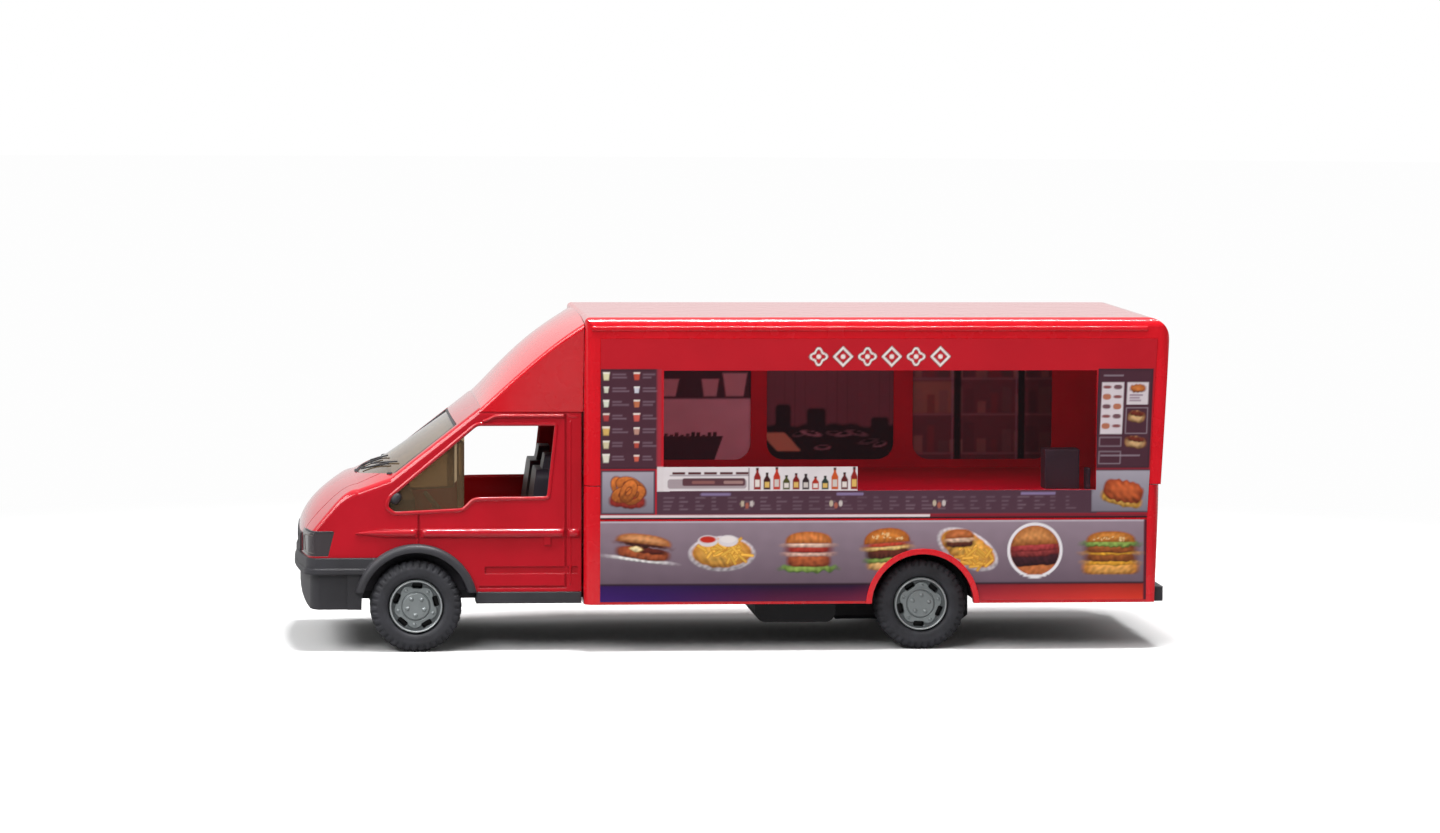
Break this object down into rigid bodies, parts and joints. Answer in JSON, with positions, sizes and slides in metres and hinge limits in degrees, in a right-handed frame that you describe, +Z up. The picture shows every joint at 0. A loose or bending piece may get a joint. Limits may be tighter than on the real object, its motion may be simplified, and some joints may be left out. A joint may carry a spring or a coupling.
{
  "type": "toy food truck",
  "caption": "Pull-back toy food truck: die-cast cab, printed plastic box body with a glazed serving window and a small kitchen inside, rolling on two steel axles.",
  "frame": {"origin": "on the ground, in the middle of the length and width", "axes": "+X towards the tail, -X towards the nose, +Z up, the serving window faces -Y"},
  "size_m": [0.1294, 0.0452, 0.0495],
  "materials": {
    "red_enamel": "gloss",
    "red_abs": "gloss",
    "black_plastic": "matt",
    "seat_plastic": "matt",
    "smoked_clear": "gloss",
    "tinted_clear": "gloss",
    "printed_film": "satin",
    "hub_silver": "satin",
    "tyre_rubber": "matt",
    "pin_steel": "satin",
    "lamp_red": "gloss"
  },
  "bodies": {
    "body": {"cab_shell": "red_enamel", "cab_glazing": "smoked_clear", "headlamp_lenses": "smoked_clear", "headlamp_backs": "hub_silver", "grille": "black_plastic", "front_bumper": "black_plastic", "side_sills": "black_plastic", "roof_fairing": "red_abs", "box_upper": "red_abs", "box_lower": "red_abs", "serving_panel": "tinted_clear", "upper_film_left": "printed_film", "upper_film_right": "printed_film", "lower_film_left": "printed_film", "lower_film_right": "printed_film", "sauce_film": "printed_film", "kitchen_moulding": "red_abs", "kitchen_films": "printed_film", "kitchen_appliances": "black_plastic", "cab_interior": "seat_plastic", "chassis_plate": "black_plastic", "motor_housing": "black_plastic", "under_block": "black_plastic", "base_screws": "pin_steel", "tail_lamps": "lamp_red", "rear_bumper": "black_plastic"},
    "front_wheels": {"front_axle": "pin_steel", "front_hub_left": "hub_silver", "front_hub_right": "hub_silver", "front_tyre_left": "tyre_rubber", "front_tyre_right": "tyre_rubber"},
    "rear_wheels": {"rear_axle": "pin_steel", "rear_hub_left": "hub_silver", "rear_hub_right": "hub_silver", "rear_tyre_left": "tyre_rubber", "rear_tyre_right": "tyre_rubber"}
  },
  "joints": [
    {"name": "front_axle_spin", "type": "hinge", "parent": "body", "child": "front_wheels", "pos_m": [-0.04705, 0, 0.00675], "axis": [0, 1, 0], "continuous": true},
    {"name": "rear_axle_spin", "type": "hinge", "parent": "body", "child": "rear_wheels", "pos_m": [0.02795, 0, 0.00675], "axis": [0, 1, 0], "continuous": true}
  ]
}
